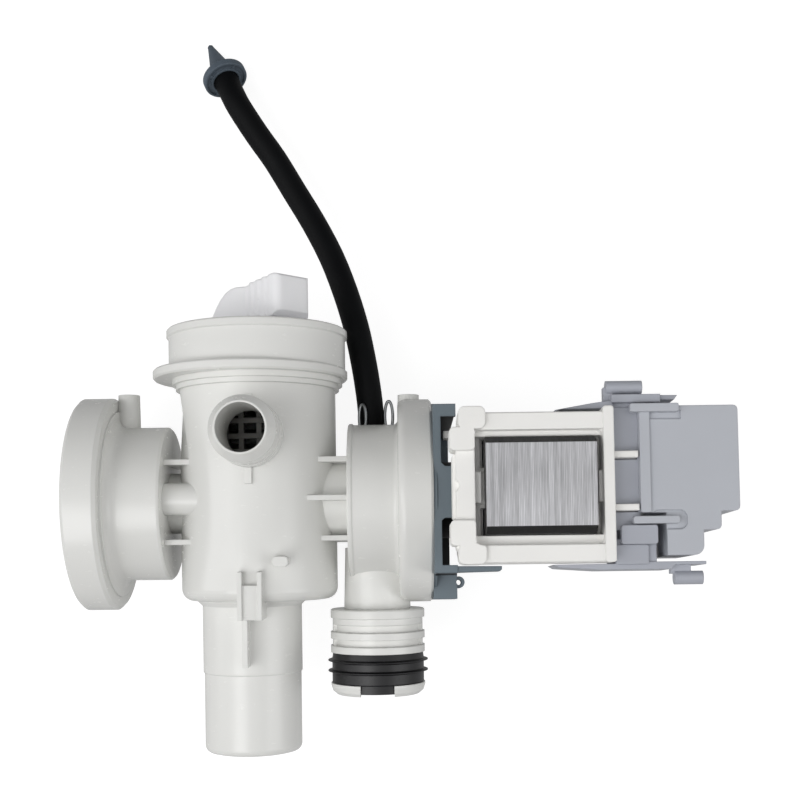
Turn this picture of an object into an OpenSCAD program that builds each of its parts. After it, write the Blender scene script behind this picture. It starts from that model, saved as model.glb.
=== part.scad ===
// Washer drain pump: filter case, drain volute with its synchronous motor,
// blank port for a second pump, outlet with check valve and emergency drain hose.
// +X runs along the pump shaft to the motor, +Y along the filter to its cap, +Z up.
// The origin lies on the mounting plane, under the crossing of the two axes.

/* [Base] */
// Height of the pump and filter axes above the mounting plane
axis_h = 47; // [47:0.5:56]
// Spacing of the screw posts along the pump axis
post_span_x = 88; // [84:1:90]
// Spacing of the screw posts along the filter axis
post_span_y = 32; // [28:1:36]
// Radius of a screw post at its foot
post_r = 4.8; // [4:0.1:5.5]
// Radius of the pilot hole in a screw post
pilot_r = 2; // [1.5:0.1:2.6]
// Depth of the pilot hole
pilot_depth = 13; // [8:0.5:16]

/* [Filter case] */
// Outer radius of the filter body
body_r = 27; // [26.5:0.1:28]
// Wall of the mouldings
wall = 2.5; // [2:0.1:2.8]
// Reach of the body from the pump axis towards the inlet tube
body_low = 33.7; // [32:0.1:36]
// Reach of the body from the pump axis towards the cap
body_high = 38.8; // [37:0.1:40]
// Radial step from the body to the collar
collar_step = 3.6; // [3.4:0.1:4.4]
// Reach of the collar from the pump axis
collar_top = 59.7; // [58:0.1:61]
// Height of the lip round the collar's mouth
lip_h = 3; // [2:0.1:4]
// Radial step of that lip
lip_step = 0.7; // [0.3:0.1:1.2]
// Wall of the collar round the cap
collar_wall = 3; // [2.8:0.1:3.3]
// Thickness of the shield flange under the collar
shield_t = 3.3; // [2.5:0.1:4]
// Radial step from the collar to the shield flange, an off-centre disc
shield_step = 3.1; // [2.8:0.1:3.6]
// Offset of that disc towards the blank port
shield_shift = 2.4; // [2:0.1:3]

/* [Inlet tube] */
// Outer radius of the tube where the tub hose sits
tube_r = 16.8; // [15.5:0.1:17.2]
// Wall of the tube
tube_wall = 3.2; // [2.5:0.1:3.6]
// Offset of the tube from the filter axis
tube_shift = -2.9; // [-4:0.1:0]
// Reach of the tube's end from the pump axis
tube_end = 86.4; // [82:0.1:95]
// Length of the hose seat
tube_seat = 25; // [20:1:27]
// Radial step between the hose seat and the root of the tube
tube_step = 0.4; // [0.3:0.1:1]
// Chamfer at the end of the tube
tube_chamfer = 2.4; // [1.5:0.1:2.8]

/* [Vent spigot] */
// Outer radius of the hose seat on the spigot
spigot_r = 10.7; // [10:0.1:11.5]
// Bore radius of the spigot
spigot_bore = 7.75; // [6.5:0.05:7.9]
// Outer radius of the spigot's mouth
spigot_tip_r = 8.4; // [8.3:0.1:9.5]
// Place of the spigot along the filter axis
spigot_y = 21.8; // [19:0.1:23]
// Height of the spigot's mouth above the axes
spigot_top = 50; // [46:0.5:54]
// Length of its tapered end
spigot_taper = 5; // [3:0.5:6]
// Length of the hose seat on the spigot
spigot_seat = 11; // [8:0.5:11]
// Radial step between that seat and the root of the spigot
spigot_step = 0.4; // [0.3:0.1:1]

/* [Side chambers] */
// Outer radius of both chambers
chamber_r = 26.6; // [26:0.1:27.4]
// Distance from the filter axis to the blank port's end wall
port_in = 30.3; // [29.5:0.1:31]
// Length of the blank port's neck
port_neck = 18.8; // [18:0.1:20]
// Width of the blank port's flange
port_flange = 10.9; // [10.2:0.1:12]
// Radial step from the chamber to the blank port's flange
port_step = 10.2; // [9.4:0.1:11]
// Distance from the filter axis to the volute's end wall
volute_in = 31.6; // [31:0.1:32.5]
// Length of the volute chamber outside
volute_len = 17; // [16.4:0.1:18.5]
// Width of the volute's flange
volute_flange = 11.5; // [10.8:0.1:12.5]
// Radial step from the chamber to the volute's flange
volute_step = 8.6; // [8.2:0.1:9.6]
// Depth of both flange mouths
mouth_depth = 9; // [8.5:0.1:9.6]
// Wall round both flange mouths
flange_wall = 3.2; // [2.8:0.1:3.4]
// Outer radius of the duct between the body and the volute
duct_r = 14.2; // [13.5:0.1:15]
// Outer radius of the duct between the body and the blank port
port_duct_r = 10.5; // [9:0.1:12]
// Radius of the locking pegs on the flanges
peg_r = 4; // [3:0.1:4.5]

/* [Outlet] */
// Place of the outlet along the pump axis
outlet_x = 40.8; // [40:0.1:42]
// Outer radius of the neck that leaves the volute
outlet_neck_r = 11.2; // [10.5:0.1:12]
// Reach of the neck from the pump axis
outlet_neck_end = 37.4; // [36.8:0.1:39]
// Outer radius of the three rings
ring_r = 16.4; // [16:0.1:17]
// Outer radius of the barrel between the rings
barrel_r = 14.7; // [14.3:0.1:15.2]
// Bore radius of the barrel
barrel_bore = 12.2; // [12:0.1:12.6]
// Radius of the groove that holds the seal
seal_groove_r = 13.6; // [13.3:0.1:13.9]
// Outer radius of the seal's sleeve
seal_r = 16; // [15.6:0.1:16.3]
// Outer radius of the seal's lips
seal_lip_r = 17.4; // [17:0.1:18]
// Length of the seal's sleeve
seal_len = 10.6; // [10:0.1:12]
// Distance from the middle ring to the seal
ring_pitch = 7.2; // [6.4:0.1:7.6]
// Thickness of the end rim beyond the seal
end_rim = 3.9; // [3:0.1:4.5]
// Width of the notches in that rim
end_notch = 11.5; // [10:0.5:14]
// Radius of the check flap
flap_r = 10; // [9.8:0.1:10.2]
// Thickness of the check flap
flap_t = 1.6; // [1.2:0.1:2]

/* [Drain hose] */
// Outer diameter of the hose
hose_od = 9.4; // [9:0.1:9.8]
// Bore diameter of the hose
hose_id = 5.6; // [5.2:0.1:6]
// Wire diameter of the spring clip
clip_wire = 1.4; // [1:0.1:1.6]
// Radius of the plug's flange
plug_flange_r = 8.4; // [7:0.1:8.4]
// Length of the plug's pointed tip
plug_tip = 17.2; // [10:0.1:18]

/* [Filter] */
// Clearance between the strainer and the body
strainer_gap = 1.5; // [1:0.1:2.4]
// Thickness of the strainer's rings
strainer_t = 1.8; // [1.4:0.1:2.2]
// Width of its bars
strainer_bar = 1.7; // [1.4:0.1:2.2]
// Number of bars round the strainer
strainer_bars = 24; // [12:2:28]
// Number of rings along the strainer
strainer_rings = 13; // [6:1:14]
// Length of the grip bar
grip_len = 41; // [36:0.5:44]
// Width of the grip bar
grip_w = 15; // [11:0.2:16]
// Reach of the grip from the pump axis
grip_top = 76.3; // [75:0.1:80]
// Direction of the grip, from the pump axis towards the top
grip_turn = 46; // [0:1:180]

/* [Motor] */
// Clocking of the motor about the pump axis
clock = 3.3; // [0:0.1:6]
// Length of the lamination stack
stack_len = 34.2; // [32:0.1:36]
// Width of the yoke
yoke_w = 30.4; // [29:0.1:31]
// Thickness of the yoke
yoke_t = 9; // [7:0.1:10]
// Height of the yoke's top above the pump axis
yoke_top = 52; // [51:0.1:54]
// Width of a leg
leg_w = 8.5; // [8:0.1:9]
// Radius of the bore between the poles
pole_bore_r = 13.6; // [13.4:0.1:14]
// Outer radius of the rotor can
can_r = 13.3; // [13.1:0.05:13.35]
// Wall of the rotor can
can_wall = 1.3; // [1:0.1:1.4]
// Width of the coil frame
coil_w = 48.4; // [48:0.2:50]
// Length of the coil frame
coil_len = 50.9; // [50:0.1:52]
// Reach of the bracket's cage from the pump axis towards the filter cap
cage_high = 28.4; // [27.5:0.1:29]
// Reach of the bracket's cage from the pump axis towards the outlet
cage_low = 26.4; // [26:0.1:27]
// Height of the cage's face above the pump axis
cage_top = 33; // [31:0.1:34]
// Length of the cage
cage_len = 7.4; // [7:0.1:7.6]
// Wall of the cage
cage_wall = 2.4; // [2:0.1:2.6]
// Depth of the terminal carrier
carrier_depth = 14; // [11:0.5:15]
// Reach of the carrier's arms along the coil frame
arm_len = 18.5; // [14:0.5:22]
// Outer radius of the cable clips on the carrier
cable_r = 2.15; // [1.9:0.05:2.4]
// Length of the terminal cover
cover_len = 28.1; // [27.5:0.1:31]
// Height of the terminal cover's face above the pump axis
cover_top = 46; // [45:0.1:47.5]
// Depth of the terminal cover
cover_depth = 26; // [22:0.5:30]
// Wall of the terminal cover
cover_wall = 1.8; // [1.4:0.1:2.2]

/* [Rotor] */
// Radius of the rotor shaft
shaft_r = 2; // [1.8:0.05:2.3]
// Radius of the rotor magnet
magnet_r = 11.3; // [10.5:0.1:11.5]
// Outer radius of the impeller
impeller_r = 20.5; // [18:0.1:22]
// Number of impeller blades
blades = 6; // [4:1:8]
// Thickness of a blade
blade_t = 2; // [1.5:0.1:2.5]
// Angle that the drive dog and the impeller's stop each take up
dog_angle = 60; // [40:1:70]

/* [Hidden] */
$fn = 96;

white = "#deded9";
milky = "#dedde4";
black = "#1c1d1f";
slate = "#4b5462";
blue_grey = "#5d6a73";
light_grey = "#aaaeb7";
warm_white = "#e8e6e2";
steel = "#a0a0a2";
copper = "#b87333";
brass = "#b5a055";

// Clearances: pieces that pass each other, running fits, seats of soft seals
gap = 0.3;
run = 0.03;
soft = 0.05;
// Overlap of cutters and of joined shapes
eps = 0.5;

// Places along the pump axis
port_out = port_in + port_neck + port_flange;
volute_out = volute_in + volute_len + volute_flange;
mouth_x = volute_out - mouth_depth;
port_flange_r = chamber_r + port_step;
volute_flange_r = chamber_r + volute_step;
mouth_r = volute_flange_r - flange_wall;
port_mouth_r = port_flange_r - flange_wall;
chamber_bore = chamber_r - wall;
duct_bore = duct_r - wall;
cage_x = volute_out + cage_len;
coil_x = volute_out + 4.5;
coil_end = coil_x + coil_len;
core_x = coil_end - 5.6 - stack_len;
core_end = core_x + stack_len;
leg_out = yoke_w / 2;
leg_in = leg_out - leg_w;
yoke_low = yoke_top - yoke_t;
can_bore = can_r - can_wall;
can_end = core_end + 5;
block_x = cage_x + 0.5;
block_low = 17;
frame_low = yoke_low - 3;
rim_top = yoke_top - 2;

// Places along the filter axis
body_bore = body_r - wall;
collar_r = body_r + collar_step;
cap_bore_r = collar_r - collar_wall;
shield_r = collar_r + shield_step;
strainer_r = body_bore - strainer_gap;
cap_seat_y = body_high + 1.2;
shield_y = body_high + 3.7;
cap_disc_y = collar_top - 6;
cap_r = cap_bore_r - 2 * gap;
cap_disc_t = 3;

// Outlet, along the barrel towards its end
ring_t = 2.4;
groove_start = outlet_neck_end + ring_pitch + 7.8;
groove_end = groove_start + seal_len;
barrel_end = groove_end + end_rim;
flap_seat_y = groove_start + 5.3;
flap_seat_r = flap_r - 0.8;
flap_mid = flap_seat_y + gap + flap_t / 2;
flap_hinge = flap_r - 0.4;

// Drain hose: its route from the chamber to the plug, from the crossing of the axes
hose_sides = 12;
hose_r = hose_od / 2;
hose_bore = hose_id / 2 / cos(180 / hose_sides);
hose_x = 39;
hose_drop = 15;
hose_start = chamber_r - 1.6;
hose_route = [
    [hose_x, hose_start, -hose_drop], [hose_x, 33, -15], [37.9, 43, -15.2], [36.1, 54, -16.5],
    [33.8, 65, -18.5], [30, 78, -21.5], [25, 91.5, -25], [18.4, 105, -28.7], [11.2, 117.5, -31.2],
    [3.9, 130, -32.4], [-3, 140, -32.6], [-9.4, 150.2, -33.1], [-12.2, 155.9, -34.9],
    [-15.2, 162.7, -37.6]];
hose_end = hose_route[len(hose_route) - 1];
barb_r = hose_id / 2 - 0.1;
barb_bore = 1.5;
barb_len = 7;
clip_r = hose_r + 0.2 + clip_wire / 2;
plug_dir = hose_end - hose_route[len(hose_route) - 2];
plug_stem = 5;

// Bearings, rotor and drive dog
bush_len = 3;
bush_r = 4.5;
holder_r = can_bore + 1;
holder_len = 7;
shaft_tip = mouth_x - 13;
dog_x = mouth_x - 5;
dog_end = mouth_x - 0.6;
dog_r = 6.4;
dog_hub_r = 4;

// Terminal carrier and its cover, and the coil frame's ribs between them
rib_places = [9.5, -7.1];
rib_t = 2;
rib_len = 8;
term_x = coil_end + 0.2;
plate_x = term_x + 8.8;
term_top = cover_top - 2.5;
cover_x = plate_x + 2.5;
cover_end = cover_x + cover_len;
cover_high = coil_w / 2 + 0.5;

// A straight barrel along X, Y or Z from a to b, with a second radius for a taper
module along_x(a, b, r, r2 = 0) {
    translate([a, 0, 0]) rotate([0, 90, 0]) cylinder(h = b - a, r1 = r, r2 = r2 > 0 ? r2 : r);
}
module along_y(a, b, r, r2 = 0) {
    translate([0, a, 0]) rotate([-90, 0, 0]) cylinder(h = b - a, r1 = r, r2 = r2 > 0 ? r2 : r);
}
module along_z(a, b, r, r2 = 0) {
    translate([0, 0, a]) cylinder(h = b - a, r1 = r, r2 = r2 > 0 ? r2 : r);
}
// A profile of [radius, place] points turned about X or Y
module turned_x(points) {
    rotate([0, 90, 0]) rotate_extrude() polygon(points);
}
module turned_y(points) {
    rotate([-90, 0, 0]) rotate_extrude() polygon(points);
}
// A box between two limits on each axis
module span(x, y, z) {
    translate([x[0], y[0], z[0]]) cube([x[1] - x[0], y[1] - y[0], z[1] - z[0]]);
}
// A box with rounded edges along Z
module slab(x, y, z, r) {
    translate([0, 0, z[0]]) linear_extrude(z[1] - z[0]) {
        translate([x[0] + r, y[0]]) square([x[1] - x[0] - 2 * r, y[1] - y[0]]);
        translate([x[0], y[0] + r]) square([x[1] - x[0], y[1] - y[0] - 2 * r]);
        for (cx = [x[0] + r, x[1] - r]) for (cy = [y[0] + r, y[1] - r]) translate([cx, cy]) circle(r);
    }
}
// Points of an arc about c
function arc(c, r, from, to, steps = 6) =
    [for (i = [0:steps]) let (a = from + (to - from) * i / steps) c + r * [cos(a), sin(a)]];
// The crossing of the pump and filter axes
module at_axis() {
    translate([0, 0, axis_h]) children();
}
// The motor's own frame, turned about the pump axis
module clocked() {
    at_axis() rotate([-clock, 0, 0]) children();
}
// A sector of a disc about X, centred on +Z turned by mid
module sector_x(a, b, r, angle, mid) {
    translate([a, 0, 0]) rotate([0, 90, 0]) rotate([0, 0, 180 + mid - angle / 2])
        rotate_extrude(angle = angle) square([r, b - a]);
}

// Screw posts under a chamber, on one side of the filter axis
module posts(side) {
    top = axis_h - sqrt(chamber_r ^ 2 - (post_span_y / 2 + post_r) ^ 2) + 1;
    for (y = [-1, 1]) translate([side * post_span_x / 2, y * post_span_y / 2, 0])
        cylinder(h = top, r1 = post_r, r2 = post_r - 0.4);
    translate([side * post_span_x / 2 - wall / 2, -post_span_y / 2, pilot_depth])
        cube([wall, post_span_y, top - pilot_depth]);
}
module pilot_holes(side) {
    for (y = [-1, 1]) translate([side * post_span_x / 2, y * post_span_y / 2, -eps])
        cylinder(h = pilot_depth + eps, r = pilot_r);
}

module filter_shell() {
    corner = 4;
    step_y = body_high + 1.7;
    turned_y(concat([[0, -body_low]],
        arc([body_r - corner, corner - body_low], corner, -90, 0),
        [[body_r, body_high], [body_r + 1.3, body_high], [body_r + 1.3, step_y],
        [body_r + 2.5, step_y], [body_r + 2.5, shield_y], [collar_r, shield_y],
        [collar_r, collar_top - lip_h], [collar_r + lip_step, collar_top - lip_h + 0.4],
        [collar_r + lip_step, collar_top - 0.5], [collar_r + lip_step - 0.5, collar_top],
        [0, collar_top]]));
    translate([-shield_shift, 0, 0]) turned_y([[0, shield_y], [shield_r - 0.6, shield_y],
        [shield_r, shield_y + 0.6], [shield_r, shield_y + shield_t - 0.6],
        [shield_r - 0.6, shield_y + shield_t], [0, shield_y + shield_t]]);
}
module inlet_tube() {
    root_r = tube_r + tube_step;
    seat_y = tube_end - tube_chamfer - tube_seat;
    translate([tube_shift, 0, 0]) turned_y(concat([[0, -body_low + 3], [root_r + 1.6, -body_low + 3],
        [root_r + 1.6, -body_low - 0.4], [root_r, -body_low - 2], [root_r, -seat_y + tube_step],
        [tube_r, -seat_y]],
        arc([tube_r - tube_chamfer, tube_chamfer - tube_end], tube_chamfer, 0, -60),
        [[tube_r - tube_wall + 0.6, -tube_end], [0, -tube_end]]));
}
module vent_spigot() {
    taper_z = spigot_top - spigot_taper;
    seat_z = taper_z - spigot_seat;
    root_r = spigot_r + spigot_step;
    translate([0, spigot_y, 0]) {
        along_z(body_r - 8, seat_z - spigot_step, root_r);
        along_z(seat_z - spigot_step, seat_z, root_r, spigot_r);
        along_z(seat_z, taper_z, spigot_r);
        along_z(taper_z, spigot_top, spigot_r, spigot_tip_r);
    }
}
// Harness clip on the lower front edge of the body, with the fin that backs it
module harness_clip() {
    clip = [-4.2, 3.8];
    ends = [-body_low - 5.6, -body_low + 10.2];
    face = body_r + 3.2;
    difference() {
        span(clip, ends, [tube_r - 4, face]);
        span([clip[0] + 1.5, clip[1] - 1.5], [ends[0] - 1, ends[1] - 2.5], [face - 1.2, face + 1]);
        span([clip[0] + 1.5, clip[1] - 1.5], [ends[1] - 4.4, ends[1] + 1], [face - 4.6, face + 1]);
    }
    fin = tube_shift + 0.3;
    span([fin - 0.9, fin + 0.9], [ends[0] - 16, ends[0] + 1], [tube_r - 4, body_r - 3]);
}
module duct_ribs() {
    rib = 1.8;
    for (y = [-1, 1]) translate([0, y * (duct_r - 0.7), 0])
        span([-port_in, -body_bore + 8], [-rib / 2, rib / 2], [-11, 16.3]);
    for (r = [[duct_r - 0.3, 16], [0.8, 20], [1.5 - duct_r, 15]])
        span([body_bore - 8, volute_in], [r[0] - rib / 2, r[0] + rib / 2], [-11, r[1]]);
}
module filter_case() color(white) at_axis() difference() {
    union() {
        filter_shell();
        inlet_tube();
        vent_spigot();
        harness_clip();
        duct_ribs();
        along_x(-port_in, 0, port_duct_r);
        along_x(0, volute_in, duct_r);
        translate([0, 1, port_duct_r + 3.8]) along_x(-port_in, -body_bore + 8, 5.5);
        translate([9.9, -20.2, 0]) slab([-2.6, 2.6], [-1.7, 1.7], [body_bore - 3, body_r + 3.4], 1.5);
        span([-1.7, 0.8], [spigot_y - 16.4, spigot_y], [body_bore - 2, body_r + 1.2]);
        span([-1.2, 1.2], [spigot_y, spigot_y + 13], [body_bore - 2, body_r + 1]);
    }
    along_y(-body_low + wall, cap_seat_y + eps, body_bore);
    along_y(cap_seat_y, collar_top + eps, cap_bore_r);
    translate([tube_shift, 0, 0]) along_y(-tube_end - eps, 0, tube_r - tube_wall);
    translate([0, spigot_y, 0]) along_z(0, spigot_top + eps, spigot_bore);
    along_x(-port_in - eps, 0, port_duct_r - wall);
    along_x(0, volute_in + eps, duct_bore);
}

module circulation_port() color(white) difference() {
    port_face = -port_in - port_neck + 1.3;
    port_fillet = 3.5;
    union() {
        at_axis() turned_x(concat([[0, -port_in], [chamber_r - 0.7, -port_in], [chamber_r, -port_in - 0.7]],
            arc([chamber_r + port_fillet, port_face + port_fillet], port_fillet, 180, 270),
            [[chamber_r + 5.6, port_face], [chamber_r + 5.6, port_face - 0.7],
            [port_flange_r - 1.2, port_face - 0.7], [port_flange_r, port_face - 1.9],
            [port_flange_r, -port_out + 1], [port_flange_r - 1, -port_out], [0, -port_out]]));
        at_axis() translate([-port_in - port_neck + peg_r, 0, 0])
            along_y(chamber_r - 4, port_flange_r + 1.2, peg_r, peg_r - 0.3);
        posts(-1);
    }
    pilot_holes(-1);
    at_axis() along_x(-port_out - eps, -port_out + mouth_depth, port_mouth_r);
    at_axis() along_x(-port_out, -port_in - wall, chamber_bore);
}

module drain_volute() color(white) difference() {
    flange_x = volute_in + volute_len;
    union() {
        at_axis() turned_x(concat([[0, volute_in], [chamber_r, volute_in], [chamber_r + 0.4, volute_in + 0.4],
            [chamber_r + 0.4, volute_in + 1.4], [chamber_r, volute_in + 1.8]],
            arc([chamber_r + 1.6, flange_x - 1.6], 1.6, 180, 90),
            arc([volute_flange_r - 2.4, flange_x + 2.4], 2.4, -90, 0),
            [[volute_flange_r, volute_out - 0.8], [volute_flange_r - 0.8, volute_out], [0, volute_out]]));
        at_axis() translate([flange_x + peg_r - 0.1, 0, 0])
            along_y(chamber_r, volute_flange_r + 1.7, peg_r, peg_r - 0.3);
        at_axis() translate([outlet_x, 0, 0])
            along_y(-outlet_neck_end, -duct_r - 2, outlet_neck_r + 0.4, outlet_neck_r - 0.2);
        at_axis() translate([hose_x, 0, -hose_drop]) {
            along_y(0, hose_start, hose_r + 0.6);
            along_y(0, hose_start + barb_len, barb_r);
        }
        posts(1);
    }
    pilot_holes(1);
    at_axis() along_x(mouth_x, volute_out + eps, mouth_r);
    at_axis() along_x(volute_in + wall, mouth_x + eps, chamber_bore);
    at_axis() along_x(volute_in - eps, volute_in + wall + eps, duct_bore);
    at_axis() translate([outlet_x, 0, 0])
        along_y(-outlet_neck_end - eps, 5 - chamber_bore, outlet_neck_r - wall);
    at_axis() translate([hose_x, 0, -hose_drop]) along_y(0, hose_start + barb_len + eps, barb_bore);
}

// Ringed barrel, its side webs, the valve seat inside and the notched end rim
module outlet_barrel() color(white) at_axis() translate([outlet_x, 0, 0]) difference() {
    union() {
        turned_y([[outlet_neck_r - wall, -outlet_neck_end], [ring_r - 0.4, -outlet_neck_end],
            [ring_r, -outlet_neck_end - 0.4], [ring_r, -outlet_neck_end - 3],
            [barrel_r + 1, -outlet_neck_end - 3.1],
            [barrel_r + 1, -outlet_neck_end - 5.2], [barrel_r, -outlet_neck_end - 5.3],
            [barrel_r, -groove_start + ring_pitch], [ring_r, -groove_start + ring_pitch],
            [ring_r, -groove_start + ring_pitch - ring_t],
            [barrel_r, -groove_start + ring_pitch - ring_t], [barrel_r, -groove_start + ring_t],
            [ring_r, -groove_start + ring_t], [ring_r, -groove_start], [seal_groove_r, -groove_start],
            [seal_groove_r, -groove_end], [ring_r, -groove_end], [ring_r, -groove_end - 0.8],
            [ring_r - 0.6, -barrel_end + 1.2], [ring_r - 2, -barrel_end], [barrel_bore, -barrel_end],
            [barrel_bore, -flap_seat_y],
            [flap_seat_r, -flap_seat_y], [flap_seat_r, -flap_seat_y + 1.5],
            [barrel_bore, -flap_seat_y + 1.5], [barrel_bore, -outlet_neck_end - 3],
            [outlet_neck_r - wall, -outlet_neck_end - 3]]);
        difference() {
            for (s = [-1, 1]) span([s > 0 ? barrel_r - 4 : -ring_r, s > 0 ? ring_r : 4 - barrel_r],
                [-groove_start + eps, -outlet_neck_end - eps], [-4, 4]);
            difference() {
                along_y(-groove_start - 1, -outlet_neck_end + 1, ring_r + 2);
                along_y(-groove_start - 2, -outlet_neck_end + 2, barrel_r + 1);
            }
            along_y(-groove_start - 1, -outlet_neck_end + 1, barrel_bore + 0.8);
        }
    }
    for (s = [-1, 1]) span([-end_notch / 2, end_notch / 2], [-barrel_end - 1, -groove_end],
        s > 0 ? [seal_groove_r - 3, ring_r + 1] : [-ring_r - 1, 3 - seal_groove_r]);
}

module outlet_seal() color(black) at_axis() translate([outlet_x, 0, 0]) {
    lip = function (y) [[seal_r, y + 0.6], [seal_lip_r, y + 0.15], [seal_lip_r, y - 0.15],
        [seal_r, y - 0.6]];
    turned_y(concat([[seal_groove_r, -groove_start], [seal_r - 0.3, -groove_start]],
        lip(-groove_start - 2.8), lip(-groove_start - 6.4),
        [[seal_r, -groove_end + 0.3], [seal_r - 0.3, -groove_end], [seal_groove_r, -groove_end]]));
    intersection() {
        difference() {
            along_y(-barrel_end + 1, -groove_end + eps, seal_r - 0.4);
            along_y(-barrel_end, -groove_end + 1, seal_groove_r);
        }
        span([-end_notch / 2 + soft, end_notch / 2 - soft], [-barrel_end, -groove_end + 1],
            [-ring_r, ring_r]);
    }
}

// Check flap with its knuckle, which hangs from the top edge of the valve seat
module valve_flap() color(black) at_axis() translate([outlet_x, -flap_mid, 0]) {
    difference() {
        along_y(-flap_t / 2, flap_t / 2, flap_r);
        span([-flap_r, flap_r], [-flap_t, flap_t], [flap_hinge, flap_r + 1]);
        along_y(-flap_t, -flap_t / 2 + 0.4, flap_r - 3);
    }
    translate([0, 0, flap_hinge]) along_x(-4, 4, flap_t / 2);
}

// Hose swept along its route: a ring of points in the plane across the route at each point
function unit(v) = v / norm(v);
function heading(p, i) =
    let (last = len(p) - 1, a = max(i, 1), b = min(i, last - 1), back = p[a] - p[a - 1], on = p[b + 1] - p[b])
    unit(unit(back) + unit(on));
function ring_at(p, i, r) = let (d = heading(p, i), u = unit(cross(d, [0, 0, 1])), v = cross(u, d))
    [for (k = [0:hose_sides - 1]) let (a = k * 360 / hose_sides) p[i] + r * (cos(a) * u + sin(a) * v)];
// A smooth curve through the route's points, with steps between each two
function blend(a, b, c, d, t) = 0.5 * (2 * b + (c - a) * t + (2 * a - 5 * b + 4 * c - d) * t * t
    + (3 * b - a - 3 * c + d) * t * t * t);
function smooth(p, steps) = concat([for (i = [0:len(p) - 2]) for (s = [0:steps - 1])
    blend(p[max(i - 1, 0)], p[i], p[i + 1], p[min(i + 2, len(p) - 1)], s / steps)], [p[len(p) - 1]]);
module drain_hose() color(black) at_axis() {
    path = smooth(hose_route, 2);
    n = len(path);
    m = hose_sides;
    points = concat([for (i = [0:n - 1]) each ring_at(path, i, hose_r)],
        [for (i = [0:n - 1]) each ring_at(path, i, hose_bore)]);
    at = function (skin, i, k) skin * n * m + i * m + (k + m) % m;
    walls = [for (i = [0:n - 2]) for (k = [0:m - 1]) each [
        [at(0, i, k), at(0, i, k + 1), at(0, i + 1, k)],
        [at(0, i, k + 1), at(0, i + 1, k + 1), at(0, i + 1, k)],
        [at(1, i, k), at(1, i + 1, k), at(1, i, k + 1)],
        [at(1, i, k + 1), at(1, i + 1, k), at(1, i + 1, k + 1)]]];
    ends = [for (k = [0:m - 1]) each [
        [at(0, 0, k), at(1, 0, k), at(0, 0, k + 1)], [at(0, 0, k + 1), at(1, 0, k), at(1, 0, k + 1)],
        [at(0, n - 1, k), at(0, n - 1, k + 1), at(1, n - 1, k)],
        [at(0, n - 1, k + 1), at(1, n - 1, k + 1), at(1, n - 1, k)]]];
    polyhedron(points, concat(walls, ends));
}

// Spring clip: two wire turns round the hose, and two hairpin ears along it, one of them spread outwards
module hose_clip() color(steel) at_axis() translate([hose_x, hose_start, -hose_drop]) {
    wire = clip_wire / 2;
    leg = wire - 0.1;
    ear_half = 1.2;
    for (y = [wire + 0.1, 3 * wire + 0.2]) translate([0, y, 0]) rotate([-90, 0, 0]) rotate_extrude()
        translate([clip_r, 0]) circle(wire, $fn = 24);
    rotate([0, -10, 0]) translate([0, 2 * wire, 0])
        along_x(clip_r, clip_r + 2 * ear_half, leg - 0.1, $fn = 24);
    for (ear = [[10, 10.2, 90], [122, 8.6, 0]]) rotate([0, -ear[0], 0])
        translate([clip_r + (ear[2] > 0 ? ear_half : 0), 0, 0]) rotate([0, ear[2], 0]) {
        for (z = [-ear_half, ear_half]) translate([0, 0, z]) along_y(wire, ear[1], leg, $fn = 24);
        translate([0, ear[1], 0]) rotate([0, -90, 0]) rotate_extrude(angle = 180)
            translate([ear_half, 0]) circle(leg, $fn = 24);
    }
}

// Plug: stem in the hose, dished flange with a collar and ribs, pointed tip
module drain_plug() color(slate) at_axis() translate(hose_end)
    rotate([0, acos(unit(plug_dir)[2]), atan2(plug_dir[1], plug_dir[0])]) {
    stem_r = barb_r - 0.4;
    collar = hose_r + gap;
    rim = plug_flange_r - 1;
    rotate_extrude() polygon([[0, -plug_stem], [stem_r - 0.5, -plug_stem], [stem_r, 1 - plug_stem],
        [stem_r, gap], [collar, gap], [collar, -0.9], [collar + 0.8, -0.9], [collar + 0.8, 0], [rim, 0],
        [rim, -0.6],
        [plug_flange_r - 0.3, -0.6], [plug_flange_r, -0.3], [plug_flange_r, 1.8],
        [plug_flange_r - 0.6, 2.4],
        [3.6, 2.4], [3, 3.2], [1.1, plug_tip], [0.6, plug_tip + 0.6], [0, plug_tip + 0.8]]);
    for (turn = [45:90:315]) rotate([0, 0, turn]) span([collar + 0.4, rim + 0.4], [-0.5, 0.5],
        [-0.5, eps]);
}

// Grip bar: its plan, rounded at the corners, cut by its side profile, with fluted flanks
module grip() {
    half = grip_len / 2;
    ledge = grip_top - 12.6;
    root = cap_disc_y + cap_disc_t - eps;
    flute_r = 1.5;
    rotate([0, -grip_turn, 0]) difference() {
        intersection() {
            rotate([-90, 0, 0]) slab([-half, half], [-grip_w / 2, grip_w / 2], [root, grip_top + 1], 2.5);
            translate([0, 0, -grip_w]) linear_extrude(2 * grip_w) polygon([[half - 11, root],
                [half - 9.5, ledge - 2.6], [half - 2.4, ledge - 1.4], [half - 0.6, ledge],
                [half + 1, ledge + 1],
                [half + 1, grip_top - 1.2], [half - 1.2, grip_top], [5.4, grip_top - 1.4],
                [3.4, grip_top - 2.2],
                [1, grip_top - 1.9], [-2.4, grip_top - 1.6], [-5.4, grip_top - 1.9],
                [-8.4, grip_top - 2.9],
                [-11, grip_top - 4.6], [-13.4, grip_top - 6.8], [-16.4, grip_top - 10.4],
                [-18.6, grip_top - 15], [-half, root]]);
        }
        for (x = [4.5:3.5:15]) for (side = [-1, 1]) translate([x, 0, side * (grip_w / 2 + 0.9)])
            along_y(root + 4, grip_top + 1, flute_r, $fn = 32);
    }
}
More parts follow.
